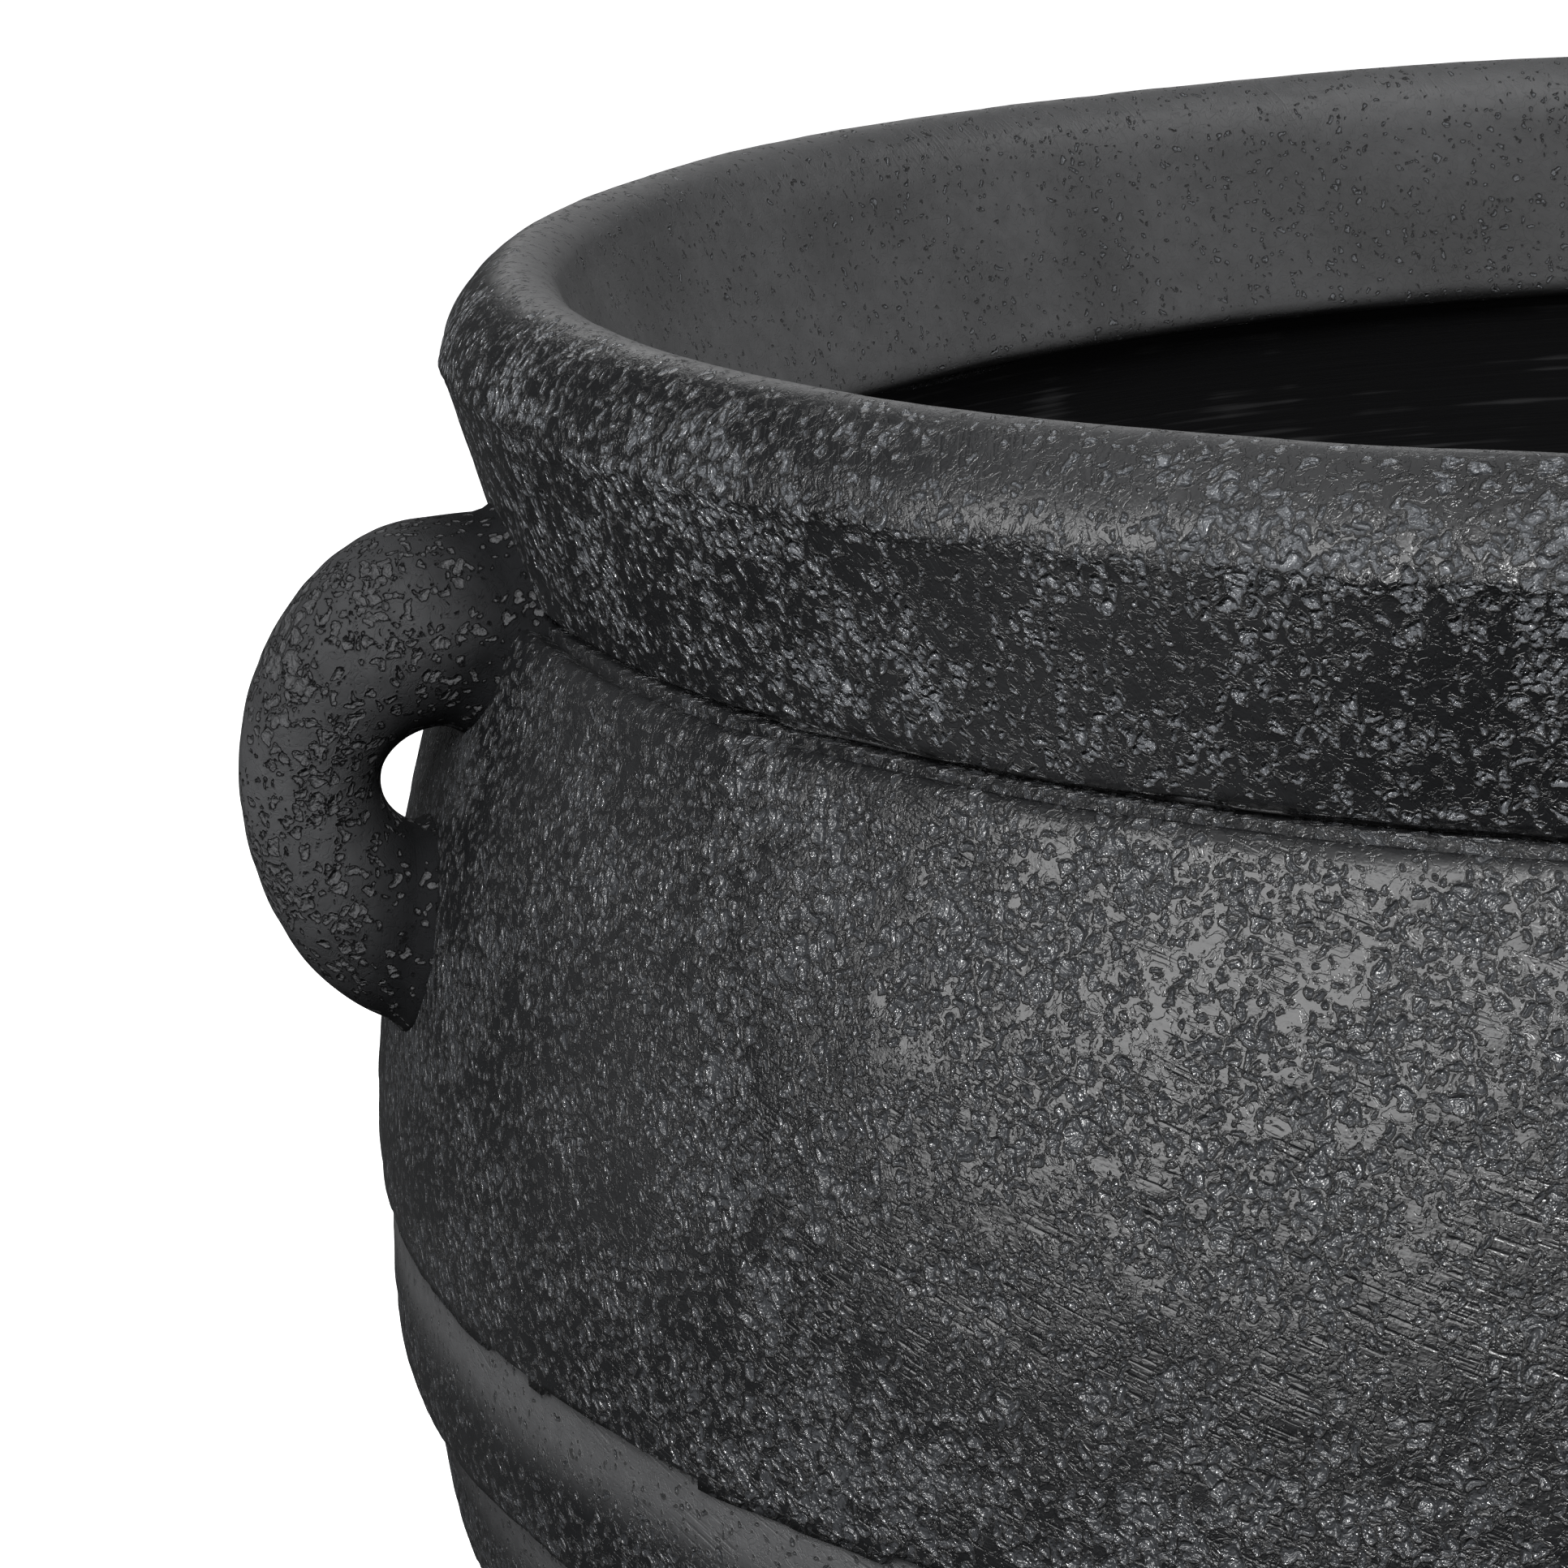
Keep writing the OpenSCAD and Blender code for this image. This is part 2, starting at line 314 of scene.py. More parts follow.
def turned(name, sections, angles, skin, node_name, material, body="pot", middle=(0, 0)):
    """A closed turned piece.

    Each section is a line of (radius, height) points, the step in millimetres that it is meshed in, and how
    strongly it is worked over. One that isn't worked over at all takes less of the flat maps. skin gives
    how far each point moves out from the plain turned form, and its wear.
    """
    unworked_share = 0.3
    lines = [walk(line, step * MM)[:-1] for line, step, _ in sections]
    outline = np.concatenate(lines)
    worked = np.repeat([float(much) for _, _, much in sections], [len(line) for line in lines])
    ahead, behind = np.roll(outline, -1, 0), np.roll(outline, 1, 0)
    run = ahead - behind
    run /= np.linalg.norm(run, axis=1)[:, None]
    out = np.column_stack([run[:, 1], -run[:, 0]])
    turns = np.radians(angles)
    cos, sin = np.cos(turns), np.sin(turns)

    def spun(flat):
        wide, high = flat[:, :1], np.repeat(flat[:, 1:], len(angles), 1)
        return np.stack([wide * cos, wide * sin, high], -1).reshape(-1, 3)

    points, facing = spun(outline), spun(out)
    wear = ()
    if skin:
        offset, wear = skin(points)
        points = points + facing * (np.repeat(worked, len(angles)) * offset)[:, None]
    points[:, :2] += middle
    lengths = np.linalg.norm(ahead - outline, axis=1) * np.where(worked > 0, 1, unworked_share)
    along = np.concatenate([[0], np.cumsum(lengths)])
    across = outline[:, 0].max() * np.radians(np.append(angles, angles[0] + 360) - angles[0])
    faces = grid_faces(len(outline), len(angles), True)
    return make_piece(name, points, faces, grid_maps(along, across), wear, node_name, material, body)


def hand_marks(points):
    """How far hands left the clay above or below its plain form: slow waves and low lumps."""
    return layered(points, HAND_WAVES) * MM


def crumble_depth(points, crumble):
    """How deep the clay lies where its skin has crumbled, with coarse crumbs."""
    return smooth(0.3, 0.8, crumble) * (CRUMB_DEEP + CRUMB_UNEVEN * waves(points, 3, 17)) * MM


def bowl_outline():
    heights = np.linspace(BASE_Z, SEAM_Z, OUTSIDE_COUNT)
    side = np.column_stack([body_radius(heights) + tier_swell(heights), heights])
    low = COAT_FLOOR_Z + FLOOR_ROUND
    inside = np.linspace(SEAM_Z, low, INSIDE_COUNT)
    inner = np.column_stack([body_radius(inside) - WALL, inside])
    corner = rounding((inner[-1, 0] - FLOOR_ROUND, low), FLOOR_ROUND, 0, -90)
    split, fine = np.searchsorted(heights, (TIER_TOP_Z - 3 * TIER_H, SEAM_Z - 7 * MM))
    drain_top, drain_low = (DRAIN_R, COAT_FLOOR_Z), (DRAIN_R, BASE_Z + FOOT_HOLLOW)
    ring_in = (FOOT_R - FOOT_RING_W, BASE_Z)
    ring_out = (FOOT_R - 1.5 * MM, BASE_Z)
    hollow = (ring_in[0] - FOOT_HOLLOW, drain_low[1])
    return [
        (side[: split + 1], 2.2, 1),
        (side[split:fine], 1.0, 1),
        (side[fine - 1:], FINE_STEP, 1),
        ([side[-1], inner[0]], HIDDEN_STEP, 0),
        (np.concatenate([inner, corner, [drain_top]]), INSIDE_STEP, 0),
        ([drain_top, drain_low], HIDDEN_STEP, 0),
        ([drain_low, hollow, ring_in], 3.5, 0.3),
        ([ring_in, ring_out], 3, 0.1),
        ([ring_out, side[0]], 1, 0.3),
    ]


def seam_groove(points):
    """The groove at the neck seam with the slip below it, and how far that slip was smeared in streaks."""
    rise = points[:, 2] - SEAM_Z
    off = rise - 0.5 * MM - 0.7 * MM * waves(points, 26, 43)
    uneven = waves(points, 14, 41) + 0.5 * waves(points, 5, 42)
    groove = (GROOVE_DEEP + GROOVE_UNEVEN * uneven) * MM * peak(off, GROOVE_WIDE * MM)
    smeared = clamp(0.5 + 0.9 * waves(points, 30, 44)) * peak(off + SMEAR_BELOW * MM, SMEAR_WIDE * MM)
    streaks = waves(points * (1, 1, 18), 24, 45)
    below_seam = 1 - smooth(-1.6 * MM, -0.3 * MM, rise)
    slip = SLIP_T * smooth(-SLIP_REACH * MM, -1 * MM, off) * below_seam
    return (slip + smeared * (0.02 + 0.16 * streaks)) * MM - groove, smeared


def bowl_skin(points):
    z = points[:, 2]
    foot = smooth(BASE_Z, BASE_Z + 12 * MM, z)
    seam, smeared = seam_groove(points)
    wander = 1.3 * MM * waves(points, 45, 21) + 0.5 * MM * waves(points, 12, 22)
    edges = tier_swell(z + wander) - tier_swell(z)
    share = tier_share(z + wander)
    # Under each ledge the clay has fewer pits and takes the lighter tint: a painted highlight along the
    # ledge
    under_ledge = np.where(share >= 0, 1 - smooth(0.2, 0.6, share), 0)
    crumble = crumbled(points, 0.56) * foot * (1 - smeared) * (1 - 0.8 * under_ledge)
    dry_and_lit = clamp(0.9 * under_ledge + 0.25 * waves(points, 50, 23))
    return hand_marks(points) - crumble_depth(points, crumble) + seam + foot * edges, (crumble, dry_and_lit)


def make_bowl(material):
    return turned("bowl", bowl_outline(), round_angles(), bowl_skin, "belly_bowl", material)


def collar_outline():
    seam = np.array([SEAM_R, SEAM_Z])
    quarter = rounding((0, 0), 1, 0, 90) ** LIP_POWER
    lip = quarter * (LIP_R - CREST_R, CREST_Z - LIP_Z) + (CREST_R, LIP_Z)
    crest = rounding((CREST_R, CREST_Z - CREST_ROUND), CREST_ROUND, 92, 150)
    throat = rounding((THROAT_R + THROAT_ROUND, SEAM_Z + THROAT_ROUND), THROAT_ROUND, 180, 270)
    start = seam + 0.15 * (lip[0] - seam)
    sharp_count = 8
    return [
        ([seam, start], FINE_STEP, 1),
        ([start, lip[0]], LIP_STEP, 1),
        (lip[:sharp_count], FINE_STEP, 1),
        (np.concatenate([lip[sharp_count - 1:], crest]), LIP_STEP, 1),
        ([crest[-1], throat[0]], SLOPE_STEP, 0.6),
        (throat, SLOPE_STEP, 0.3),
        ([(THROAT_R + THROAT_ROUND, SEAM_Z), seam], HIDDEN_STEP, 0),
    ]


def lip_ridge(points):
    """The broken ridge that the last pull left along the lip edge."""
    off = points[:, 2] - LIP_Z - 1.1 * MM * waves(points, 17, 50)
    outside = smooth(CREST_R, CREST_R + 4 * MM, np.hypot(points[:, 0], points[:, 1]))
    uneven = 0.5 + 0.6 * waves(points, 11, 51) + 0.6 * waves(points, 3.5, 52)
    wiped = peak(np.arctan2(points[:, 1], points[:, 0]) - WIPED_AT, WIPED_SPREAD)
    return RIDGE_H * MM * outside * (1 - 0.8 * wiped) * clamp(uneven) * peak(off, RIDGE_WIDE * MM)


def collar_skin(points):
    """The collar's skin: crumbled and torn outside, drier and lighter over the crest, and mottled on the
    inner slope, which is painted lighter towards -X as painted light.
    """
    radius, z = np.hypot(points[:, 0], points[:, 1]), points[:, 2]
    outside = smooth(CREST_R - 3 * MM, CREST_R + 5 * MM, radius)
    off_lip = z - LIP_Z - 1.5 * MM * waves(points, 15, 54)
    torn = outside * peak(off_lip, 2.2 * MM) * clamp(0.6 + 0.6 * waves(points, 9, 55))
    crumble = crumbled(points, 0.44 + 0.2 * peak(off_lip, 5 * MM)) * (0.15 + 0.85 * outside)
    face = (radius > CREST_R) & (z < LIP_Z)
    bare = np.where(face, 0, 1 - smooth(CREST_R - 4 * MM, CREST_R + 4 * MM, radius))
    slope = bare * (1 - smooth(CREST_Z - 14 * MM, CREST_Z - 4 * MM, z))
    blotches = 0.25 * waves(points, 60, 53) + 0.35 * slope * waves(points, 16, 56)
    # The lighter tint covers the crest and the inner slope, but thins out on the slope towards +X: painted
    # light, lighter on the -X side
    dry_and_lit = clamp(bare - slope * (0.5 + 0.5 * points[:, 0] / CREST_R) + blotches)
    offset = hand_marks(points) - crumble_depth(points, crumble)
    return offset + seam_groove(points)[0] + lip_ridge(points), (crumble, dry_and_lit, torn, slope)


def make_collar(material):
    return turned("collar", collar_outline(), round_angles(), collar_skin, "neck_collar", material)


def ear_rings(count_round, count_section):
    """Rings of points along the handle at +X, from inside the neck round the finger hole to the belly."""
    top_count, low_count = 13, 5
    top_backs = np.linspace(EAR_TOP_BACK, 0, top_count + 1)[:-1]
    low_backs = np.linspace(0, EAR_LOW_BACK, low_count + 1)[1:]
    backs = np.concatenate([top_backs, np.zeros(count_round), low_backs])
    bend = np.linspace(90, -90, count_round)
    turns = np.radians(np.concatenate([np.full(top_count, 90.0), bend, np.full(low_count, -90.0)]))
    around = np.linspace(0, TURN, count_section, endpoint=False)
    axis_r = float(body_radius(EAR_Z)) - backs
    hole_out = EAR_OUT - EAR_THICK
    outer = np.column_stack([axis_r + EAR_OUT * np.cos(turns), EAR_Z + EAR_H / 2 * np.sin(turns)])
    inner = np.column_stack([axis_r + hole_out * np.cos(turns), EAR_Z + HOLE_H / 2 * np.sin(turns)])
    middle, half = (outer + inner) / 2, (outer - inner) / 2
    wide = EAR_WIDE / 2 * (1 + EAR_FLARE * np.sin(turns) ** 2)
    across = half[:, None, :] * np.cos(around)[None, :, None]
    rings = np.empty((len(backs), count_section, 3))
    rings[..., 0] = middle[:, None, 0] + across[..., 0]
    rings[..., 1] = wide[:, None] * np.sin(around)
    rings[..., 2] = middle[:, None, 1] + across[..., 1]
    facing = np.empty_like(rings)
    facing[..., 0] = half[:, None, 0] * np.cos(around) * wide[:, None]
    facing[..., 1] = (half**2).sum(-1)[:, None] * np.sin(around)
    facing[..., 2] = half[:, None, 1] * np.cos(around) * wide[:, None]
    facing /= np.linalg.norm(facing, axis=-1)[..., None]
    return rings, facing


def make_ear(name, node_name, side, material):
    """One ear handle, its clay drawn out on to the wall at the roots. side is 1 for +X and -1 for -X."""
    bar_length, girth = EAR_H * 1.6, 80 * MM
    rings, facing = ear_rings(count_round=150, count_section=88)
    rows, columns = rings.shape[:2]
    points, facing = rings.reshape(-1, 3), facing.reshape(-1, 3)
    gap = np.hypot(points[:, 0], points[:, 1]) - wall_radius(points[:, 2])
    drawn = DRAWN_T * MM * clamp(1 - gap / (DRAWN_REACH * MM)) ** 2 * smooth(-9 * MM, -1 * MM, gap)
    # Near the wall the ear takes fewer pale crumbs, none of the lighter tint and a rougher skin: painted
    # shade at the roots
    clear_of_wall = smooth(3 * MM, 22 * MM, gap)
    points = points * (side, side, 1)
    crumble = crumbled(points, 0.56) * (0.4 + 0.6 * clear_of_wall)
    dry_and_lit = clamp(0.66 + 0.5 * waves(points, 25, 31)) * clear_of_wall
    offset = drawn + hand_marks(points) - 0.8 * crumble_depth(points, crumble)
    points = points + facing * (side, side, 1) * offset[:, None]
    faces = grid_faces(rows, columns, False)[:, ::-1]
    maps = grid_maps(np.linspace(0, bar_length, rows), np.linspace(0, girth, columns + 1))
    maps = {key: flat[:, ::-1] for key, flat in maps.items()}
    wear = (crumble, dry_and_lit, 0 * dry_and_lit, 1 - clear_of_wall)
    return make_piece(name, points, faces, maps, wear, node_name, material)


def make_coat(material):
    """The brushed-on coat: a thin shell inside the bowl, open at the mouth and at the drain hole."""
    low = COAT_FLOOR_Z + FLOOR_ROUND
    heights = np.linspace(coat_high.z, low, INSIDE_COUNT)
    wall = np.column_stack([body_radius(heights) - WALL, heights])

    def lining(back):
        corner = rounding((wall[-1, 0] - FLOOR_ROUND, low), FLOOR_ROUND - back, 0, -90)
        return np.concatenate([wall - (back, 0), corner, [(DRAIN_R + COAT_T, COAT_FLOOR_Z + back)]])

    against, open_side = lining(0), lining(COAT_T)[::-1]
    sections = [
        ([open_side[-1], against[0]], 1, 0),
        (against, INSIDE_STEP, 0),
        ([against[-1], open_side[0]], 1, 0),
        (open_side, 2.5, 1),
    ]
    return turned("coat", sections, round_angles(FAR_STEP), coat_skin, "inner_coat", material)


def coat_skin(points):
    """Brush marks that run round the wall, over the waves of the clay."""
    spread = points * (1, 1, 6)
    return (0.3 * waves(points, 60, 61) + 0.12 * waves(spread, 40, 62)) * MM, ()


def make_plug(material):
    """The stopper: a flange with a rounded rim, a waisted knob, and a cored stem below."""
    pole_r = 0.4 * MM
    seat, top = COAT_FLOOR_Z + COAT_T, plug_high.z
    rim_r, stem_r, waist_r = plug_high.x, DRAIN_R - STEM_PLAY, KNOB_R - KNOB_WAIST
    flange = seat + PLUG_FLANGE_T
    roof = flange - PLUG_ROOF
    inset = RUBBER_ROUND
    side = np.concatenate([
        [(STEM_BORE_R, roof), (STEM_BORE_R, plug_low.z)],
        rounding((stem_r - inset, plug_low.z + inset), inset, 270, 360, 8),
        [(stem_r, seat), (rim_r - 0.4 * MM, seat)],
        rounding((rim_r - inset, flange - inset), inset, -30, 90, 12),
        rounding((waist_r + inset, flange + inset), inset, 270, 180),
        arc((waist_r, top - KNOB_H / 3), KNOB_WAIST, KNOB_H / 3, -60, 90),
        [(pole_r, top + 0.1 * MM)],
    ])
    sections = [
        ([(pole_r, roof), side[0]], 1.2, 0),
        (side, 0.4, 1),
        ([side[-1], (pole_r, roof)], 6, 0),
    ]
    angles = np.arange(0, 360, 2.5)
    return turned("plug", sections, angles, moulded_skin, "drain_plug", material, body="plug")


def moulded_skin(points):
    """The parting line that a two-part mould leaves on rubber, and its slight waves."""
    line = peak(points[:, 1], MOULD_LINE_WIDE * MM)
    return (MOULD_LINE_H * line + 0.05 * waves(points, 9, 71)) * MM, ()


def make_pads(material):
    """The rubber pads under the foot ring, each with a bevelled edge and a shallow dish in its sole."""
    pole_r, dish = 0.3 * MM, 0.5 * MM
    for name in PAD_NAMES:
        low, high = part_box(name)
        radius = (high.x - low.x) / 2
        side = [
            (pole_r, dish), (radius - 6 * MM, dish), (radius - 5 * MM, 0), (radius - 1.2 * MM, 0),
            (radius - 0.9 * MM, 0.1 * MM), (radius - 0.1 * MM, 0.9 * MM), (radius, 1.2 * MM),
            (radius, PAD_H - 0.4 * MM), (radius - 0.4 * MM, PAD_H),
        ]
        lid = [side[-1], (pole_r, PAD_H)]
        sections = [(side, 0.5, 0), (lid, 3, 0), ([lid[1], side[0]], 2, 0)]
        turned(name.replace("foot_", ""), sections, np.arange(0, 360, 4), None, name, material,
               middle=((low.x + high.x) / 2, (low.y + high.y) / 2))


# Materials


class Value:
    """A quantity that varies over a surface. A formula written with it adds the Math nodes it needs."""

    def __init__(self, recipe, socket):
        self.recipe, self.socket = recipe, socket

    def other(self, name):
        """Another output of the same node."""
        return Value(self.recipe, self.socket.node.outputs[name])

    def math(self, operation, *terms):
        return self.recipe.add("ShaderNodeMath", {"operation": operation}, dict(enumerate(terms)))

    def __add__(self, more):
        return self.math("ADD", self, more)

    def __sub__(self, less):
        return self.math("SUBTRACT", self, less)

    def __rsub__(self, whole):
        return self.math("SUBTRACT", whole, self)

    def __mul__(self, times):
        return self.math("MULTIPLY", self, times)

    def __abs__(self):
        return self.math("ABSOLUTE", self)

    __radd__, __rmul__ = __add__, __mul__

    def most(self, floor):
        return self.math("MAXIMUM", self, floor)

    def least(self, ceiling):
        return self.math("MINIMUM", self, ceiling)

    def rise(self, low, high):
        """0 where it is below low, 1 above high and an even curve between."""
        return self.recipe.add("ShaderNodeMapRange", {"interpolation_type": "SMOOTHSTEP"},
                               {"Value": self, "From Min": low, "From Max": high})


class Recipe:
    """A material and the nodes that make it."""

    def __init__(self, name):
        self.material = bpy.data.materials.new(name)
        self.material.use_nodes = True
        self.nodes, self.links = self.material.node_tree.nodes, self.material.node_tree.links
        self.nodes.clear()
        place = self.add("ShaderNodeTexCoord", out="Object")
        self.place = self.add("ShaderNodeVectorMath", {"operation": "SCALE"}, {0: place, "Scale": 1 / MM})
        self.brushed = self.add("ShaderNodeUVMap", {"uv_map": "brush"})

    def add(self, kind, settings=None, values=None, out=0):
        """Adds one node: its settings first, then its sockets' values or links. Gives back one output."""
        node = self.nodes.new(kind)
        for key, setting in (settings or {}).items():
            setattr(node, key, setting)
        for key, value in (values or {}).items():
            if isinstance(value, Value):
                self.links.new(value.socket, node.inputs[key])
            else:
                node.inputs[key].default_value = value
        return Value(self, node.outputs[out]) if node.outputs else node

    def strokes(self, length, width, slant=0.0, detail=1.0):
        """Noise in strokes of that length and width in millimetres, slanting by slant degrees."""
        slanted = self.add("ShaderNodeVectorRotate", {"rotation_type": "Z_AXIS"},
                           {"Vector": self.brushed, "Angle": math.radians(slant)})
        place = self.add("ShaderNodeVectorMath", {"operation": "MULTIPLY"},
                         {0: slanted, 1: (1 / length, 1 / width, 0)})
        return self.add("ShaderNodeTexNoise", {"noise_dimensions": "2D"},
                        {"Vector": place, "Scale": 1.0, "Detail": detail})

    def noise(self, size, place=None, detail=0.0, roughness=0.5, out="Fac"):
        """Soft random noise with features of about size millimetres."""
        values = {"Vector": place or self.place, "Scale": 1 / size}
        values.update({"Detail": detail, "Roughness": roughness})
        return self.add("ShaderNodeTexNoise", None, values, out)

    def cells(self, size, place):
        """Random cells of about size millimetres: how far off the middle of its cell a point lies."""
        return self.add("ShaderNodeTexVoronoi", None, {"Vector": place, "Scale": 1 / size}, "Distance")

    def shifted(self, size, much):
        """The place, pushed about by noise of that size by that many millimetres."""
        push = self.add("ShaderNodeVectorMath", {"operation": "SUBTRACT"},
                        {0: self.noise(size, out="Color"), 1: (0.5, 0.5, 0.5)})
        push = self.add("ShaderNodeVectorMath", {"operation": "SCALE"}, {0: push, "Scale": 2 * much})
        return self.add("ShaderNodeVectorMath", {"operation": "ADD"}, {0: self.place, 1: push})

    def blend(self, share, first, second):
        return self.add("ShaderNodeMix", {"data_type": "RGBA"}, {0: share, 6: first, 7: second}, out=2)

    def finish(self, height, **sockets):
        """The shader itself. height is the relief in millimetres, and the rest are the shader's sockets."""
        values = {key.replace("_", " "): value for key, value in sockets.items()}
        values["Normal"] = self.add("ShaderNodeBump", None,
                                    {"Height": height * MM, "Distance": 1.0, "Strength": 1.0})
        shader = self.add("ShaderNodeBsdfPrincipled", None, values)
        self.add("ShaderNodeOutputMaterial", None, {"Surface": shader})
        return self.material


# Near-black painted shade for the rims of the pits
CLAY_RIM_SHADE = (0.002, 0.002, 0.0022, 1)
CLAY_DARK = (0.0025, 0.0026, 0.003, 1)
CLAY_LIGHT = (0.007, 0.0074, 0.0082, 1)
# Crumb colours: paler clay inside the pits, lightened further as painted glints
CLAY_CRUMB_AND_GLINT = (0.034, 0.0356, 0.0384, 1)
CLAY_PALE_CRUMB_AND_GLINT = (0.088, 0.0924, 0.0995, 1)
# The lighter tint: drier clay, and also painted light and shade where the mesh sets it so
CLAY_DRY_AND_LIT = (0.052, 0.0526, 0.0545, 1)
COAT_BLACK, COAT_THIN = (0.006, 0.006, 0.0065, 1), (0.024, 0.024, 0.025, 1)
RUBBER_BLACK, RUBBER_BLOOM = (0.011, 0.011, 0.012, 1), (0.026, 0.026, 0.027, 1)
PAPER_PALE, PAPER_GLOW = (0.9, 0.9, 0.9, 1), (1, 1, 1, 1)


def clay_recipe(name, pit_size, hollow, broken, crumb_and_glint, slant, streaked=1.0, matt=0.3, ior=1.6):
    """Satin charcoal clay: a creased skin, broken by crumbly pits where the mesh says that it has crumbled.

    A pit is pit_size wide, hollow deep and broken rough inside, in millimetres, and shows crumbs of the
    colour
    given for them: paler clay, lightened further as a painted glint. The rims of the pits are painted
    near-black as painted shade. The tool's scratches slant by slant degrees, and streaked is how clearly
    they show. matt is the roughness of the plain skin, and ior its index of refraction.
    """
    recipe = Recipe(name)
    crumble, dry_and_lit, torn, dull = (
        recipe.add("ShaderNodeAttribute", {"attribute_name": word}, out="Fac") for word in WEAR)

    # Pits and specks with ragged outlines: a point is inside one where its depth is above 0
    warped = recipe.shifted(2.2, 1.3)
    holes = recipe.cells(pit_size, warped)
    tone = recipe.add("ShaderNodeSeparateXYZ", None, {0: holes.other("Color")}, "X")
    specks = recipe.cells(1.0, warped)
    ragged = recipe.noise(1.1, detail=2.0, roughness=0.65) - 0.5
    depth = 0.10 + 0.26 * tone + 0.50 * crumble - 0.10 * dry_and_lit - holes + 0.6 * ragged
    depth = depth.most(0.5 * crumble + 0.3 * ragged - 0.12 - specks)
    inside = depth.rise(0.0, 0.06)
    rim = depth.rise(-0.05, 0.0) * (1.0 - depth.rise(0.03, 0.13))
    lumps = recipe.noise(1.3, warped, detail=2.0, roughness=0.55) - 0.5
    pit = inside * (0.15 + broken * lumps) + hollow * depth.rise(0.0, 0.45) - 0.10 * depth.rise(-0.12, 0.0)

    # The skin between the pits: brush marks, the tool's scratches, creases, low swells and a fine grain
    brush = recipe.strokes(4, 0.6, slant / 3, detail=2.0) - 0.5
    scratches = (recipe.strokes(15, 0.8, slant) - 0.47).least(0.0)
    tooled = recipe.noise(14.0, detail=1.0).rise(0.51, 0.57)
    grain = recipe.noise(0.6, detail=1.0)
    swell = recipe.noise(3.4, detail=1.0) - 0.5
    wrinkles = recipe.noise(2.6, warped, detail=3.0, roughness=0.6) - 0.5
    creases = abs(wrinkles).rise(0.0, 0.035)
    skin = streaked * (0.04 * brush + 0.4 * tooled * scratches) + 0.05 * creases
    skin = skin + 0.08 * swell + 0.06 * grain
    height = skin * (1.0 - inside) - pit + 2.4 * torn * wrinkles

    # Colour and sheen, with painted shade on the pits' rims, painted glints in the crumbs, and painted
    # light and shade in the lighter tint
    tint = recipe.blend(0.4 + 0.8 * swell, CLAY_DARK, CLAY_LIGHT)
    # The lighter tint, as much as the mesh sets: drier clay, and also painted light and shade
    tint = recipe.blend(dry_and_lit * (0.9 + 0.5 * swell), tint, CLAY_DRY_AND_LIT)
    # Inside the pits: paler crumbs, lightened further as painted glints
    tint = recipe.blend(inside, tint, crumb_and_glint)
    # Painted shade: the ring round each pit's mouth is painted near-black
    tint = recipe.blend(rim, tint, CLAY_RIM_SHADE)
    rough = matt + 0.1 * brush + 0.3 * dry_and_lit + 0.4 * dull + 0.45 * rim - 0.15 * inside
    return recipe.finish(height, Base_Color=tint, Roughness=rough, IOR=ior)


def coat_paint():
    """Black bitumen brushed on by hand: streaks that run round the pot, thin spots and a satin sheen."""
    recipe = Recipe("black coat")
    streaks = recipe.strokes(90, 1.6, detail=2.0)
    fine = recipe.strokes(30, 0.5)
    blots = recipe.noise(26.0, detail=2.0)
    thin = (blots + 0.6 * (streaks - 0.5)).rise(0.55, 0.75)
    tint = recipe.blend(thin, COAT_BLACK, COAT_THIN)
    rough = 0.36 + 0.16 * thin + 0.1 * (fine - 0.5)
    return recipe.finish(0.1 * streaks + 0.04 * fine, Base_Color=tint, Roughness=rough)


def rubber(name, matt):
    """Black moulded rubber with a fine matt grain and a dusting of pale bloom."""
    recipe = Recipe(name)
    bloom = recipe.noise(7.0, detail=3.0).rise(0.45, 0.75)
    grain = recipe.noise(0.5, detail=1.0)
    tint = recipe.blend(bloom, RUBBER_BLACK, RUBBER_BLOOM)
    return recipe.finish(0.03 * grain, Base_Color=tint, Roughness=matt + 0.14 * bloom)


def floor_paint():
    """Pale paper that glows enough to stay white behind the pot."""
    recipe = Recipe("floor paper")
    grain = recipe.noise(4.0, detail=2.0)
    return recipe.finish(0.02 * grain, Base_Color=PAPER_PALE, Roughness=0.8,
                         Emission_Color=PAPER_GLOW, Emission_Strength=0.85)


# Floor, light and camera


def make_floor():
    """A flat sheet of pale paper, so wide that no edge shows."""
    radii = np.concatenate([np.linspace(0.05, 1, 12), np.geomspace(1.3, 14, 12)])[:, None]
    turns = np.radians(np.arange(0, 360, 5))
    level = np.zeros((len(radii), len(turns)))
    points = np.stack([radii * np.cos(turns), radii * np.sin(turns), level], -1).reshape(-1, 3)
    faces = grid_faces(len(radii), len(turns), False)[:, ::-1]
    middle = [list(range(len(turns)))[::-1]]
    mesh = bpy.data.meshes.new("floor_paper")
    mesh.from_pydata(points.tolist(), [], faces.tolist() + middle)
    mesh.materials.append(floor_paint())
    floor = bpy.data.objects.new("floor_paper", mesh)
    bpy.context.scene.collection.objects.link(floor)
    floor.visible_glossy = floor.visible_diffuse = False


SHOULDER = Vector((0, 0, 0.25))

# Softboxes that face the shoulder: azimuth and elevation in degrees, distance, width, height and watts
SOFTBOXES = {
    "front_panel": (201, 18, 1.4, 1.1, 0.84, 15.0),
    "back_panel": (84, 24, 1.6, 1.0, 0.6, 2.4),
    "key_box": (242, 34, 1.3, 0.26, 0.3, 17.0),
    "fill_panel": (330, 32, 1.6, 1.2, 0.8, 12.0),
}
SKY_TINT, SKY_STRENGTH = (0.96, 0.98, 1, 1), 0.055
SHEET_STRENGTH, SHEET_SPREAD = 0.8, math.radians(80)


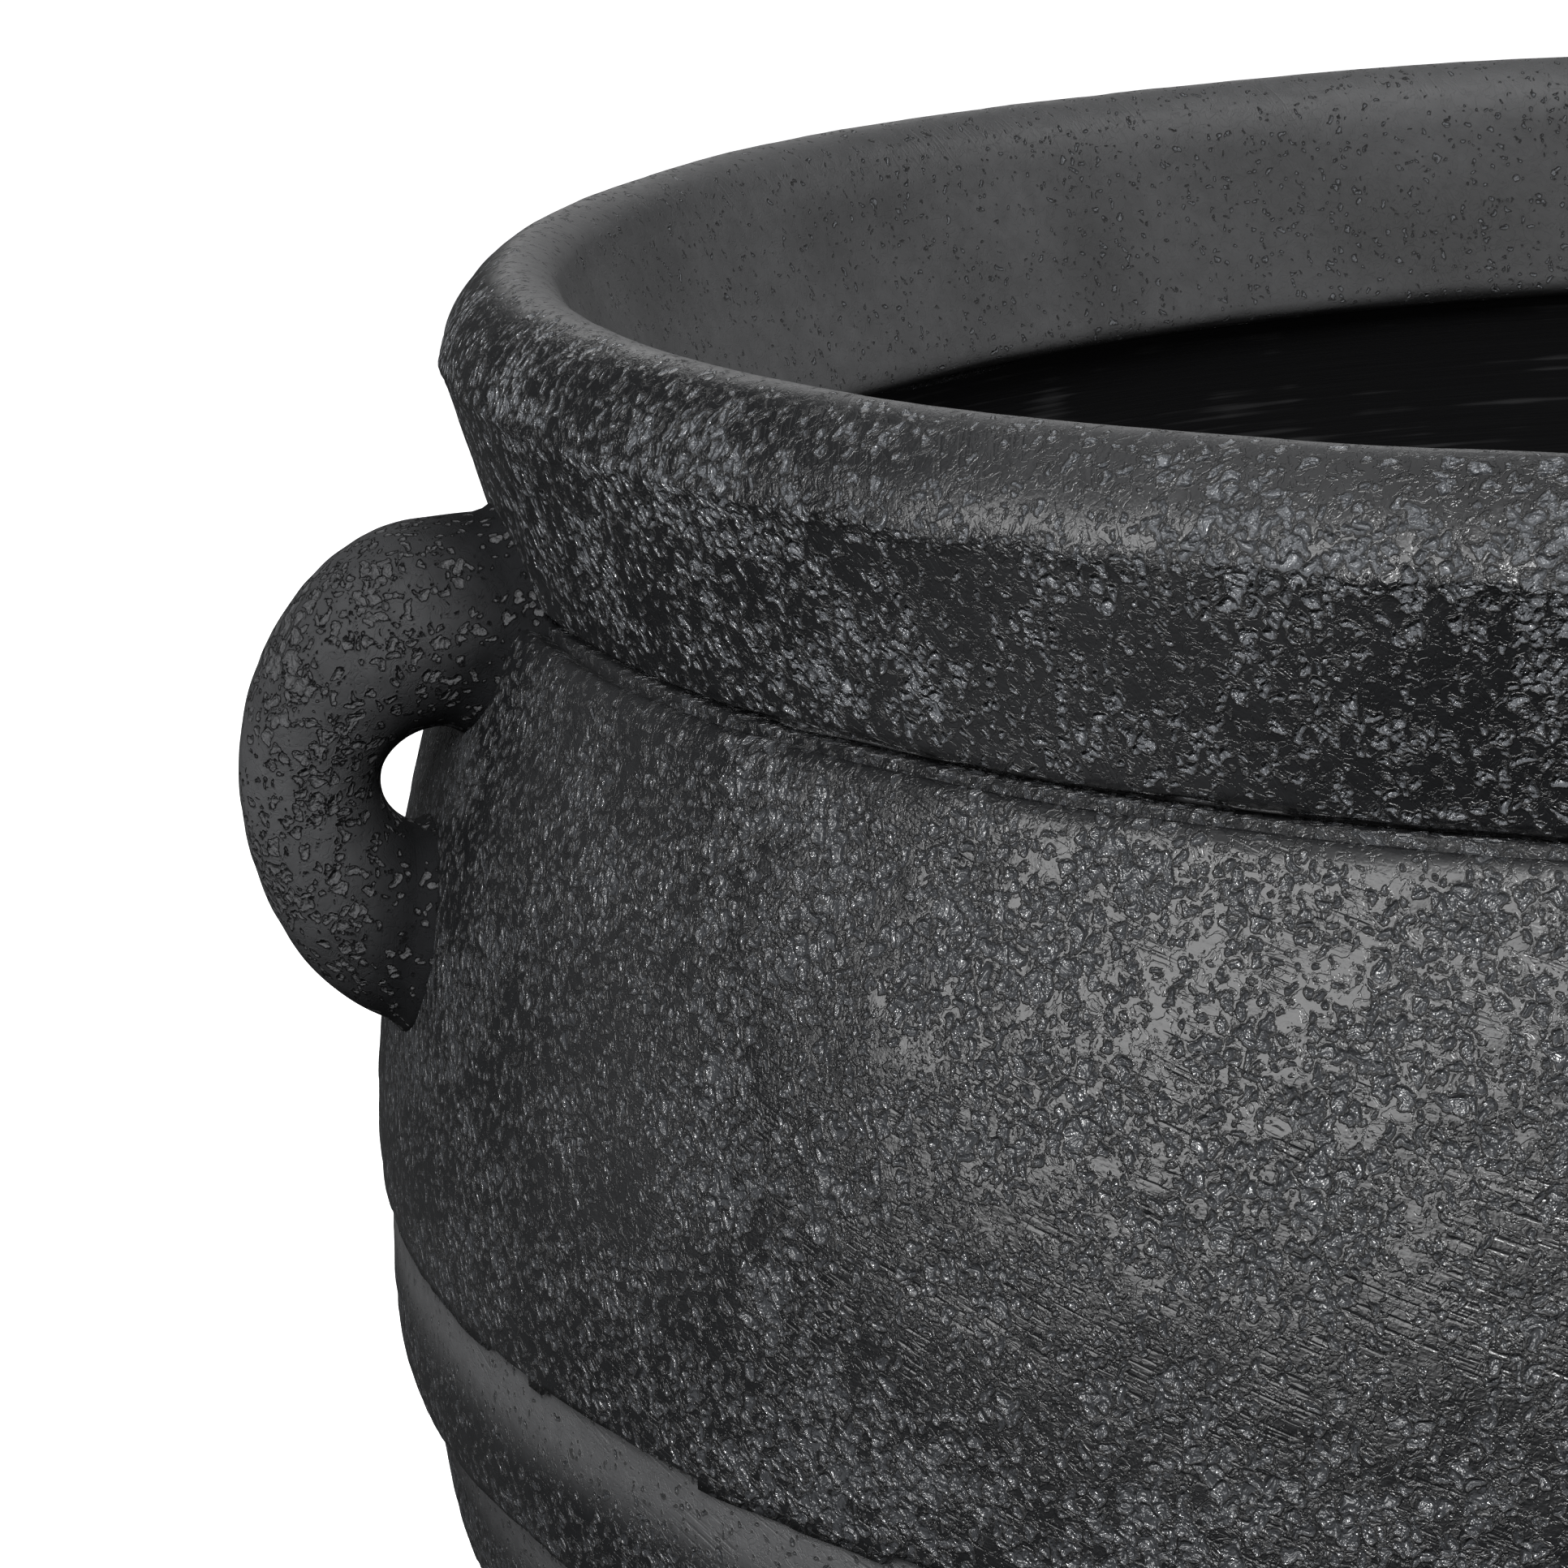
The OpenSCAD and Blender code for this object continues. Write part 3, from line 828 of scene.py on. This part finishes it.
def toward(azimuth, elevation, distance):
    """The place at that distance from the pot's shoulder, in a direction given in degrees."""
    a, e = math.radians(azimuth), math.radians(elevation)
    return Vector((math.cos(a) * math.cos(e), math.sin(a) * math.cos(e), math.sin(e))) * distance + SHOULDER


def add_softbox(name, azimuth, elevation, distance, width, height, power):
    lamp = bpy.data.lights.new(name, "AREA")
    lamp.shape, lamp.size, lamp.size_y, lamp.energy = "RECTANGLE", width, height, power
    box = bpy.data.objects.new(name, lamp)
    bpy.context.scene.collection.objects.link(box)
    place = toward(azimuth, elevation, distance)
    box.location = place
    box.visible_camera = False
    box.rotation_mode = "QUATERNION"
    box.rotation_quaternion = (SHOULDER - place).to_track_quat("-Z", "Y")


def make_light():
    world = bpy.data.worlds.new("studio")
    world.use_nodes = True
    background = world.node_tree.nodes["Background"]
    background.inputs["Color"].default_value = SKY_TINT
    background.inputs["Strength"].default_value = SKY_STRENGTH
    bpy.context.scene.world = world
    for name, settings in SOFTBOXES.items():
        add_softbox(name, *settings)
    sheet = bpy.data.lights.new("overhead_sheet", "SUN")
    sheet.energy, sheet.angle = SHEET_STRENGTH, SHEET_SPREAD
    bpy.context.scene.collection.objects.link(bpy.data.objects.new("overhead_sheet", sheet))
    bpy.context.scene.view_settings.view_transform = "Standard"


# The photograph's camera, solved from the turned edges: distances in times SOLVED_R, angles in radians
SOLVED_R = 230 * MM
AWAY, RAISED = 3.2969, 0.458
PAN, TILT, ROLL = -0.2479, 0.2631, -0.0461
FOCAL_PIXELS, PHOTO_PIXELS = 5492.36, 1932
SENSOR_MM = 36
HANDLE_TURN = math.radians(-26)


def make_camera():
    cos_pan, sin_pan = math.cos(PAN), math.sin(PAN)
    ahead = Vector((sin_pan * math.cos(TILT), cos_pan * math.cos(TILT), -math.sin(TILT)))
    level = Vector((cos_pan, -sin_pan, 0))
    upright = level.cross(ahead)
    right = math.cos(ROLL) * level + math.sin(ROLL) * upright
    up = math.cos(ROLL) * upright - math.sin(ROLL) * level
    facing = Matrix((right, up, -ahead)).transposed().to_4x4()
    facing.translation = Vector((0, -AWAY, RAISED)) * SOLVED_R + Vector((0, 0, CREST_Z))
    lens = bpy.data.cameras.new("photo_camera")
    lens.sensor_width = SENSOR_MM
    lens.lens = SENSOR_MM * FOCAL_PIXELS / PHOTO_PIXELS
    camera = bpy.data.objects.new("photo_camera", lens)
    bpy.context.scene.collection.objects.link(camera)
    camera.matrix_world = Matrix.Rotation(HANDLE_TURN, 4, "Z") @ facing
    bpy.context.scene.camera = camera


make_camera()
belly_clay = clay_recipe("belly clay", pit_size=2.0, hollow=0.45, broken=1.15, crumb_and_glint=CLAY_CRUMB_AND_GLINT, slant=14)
make_bowl(belly_clay)
collar_clay = clay_recipe("collar clay", pit_size=2.1, hollow=1.4, broken=1.8, crumb_and_glint=CLAY_PALE_CRUMB_AND_GLINT, slant=62,
                          streaked=0.6)
make_collar(collar_clay)
ear_clay = clay_recipe("ear clay", pit_size=2.2, hollow=0.6, broken=1.4, crumb_and_glint=CLAY_DRY_AND_LIT, slant=30,
                       streaked=0.4, matt=0.45, ior=1.2)
make_ear("right_ear", "right_handle", 1, ear_clay)
make_ear("left_ear", "left_handle", -1, ear_clay)
make_coat(coat_paint())
make_plug(rubber("plug rubber", 0.5))
make_pads(rubber("pad rubber", 0.58))
make_floor()
make_light()
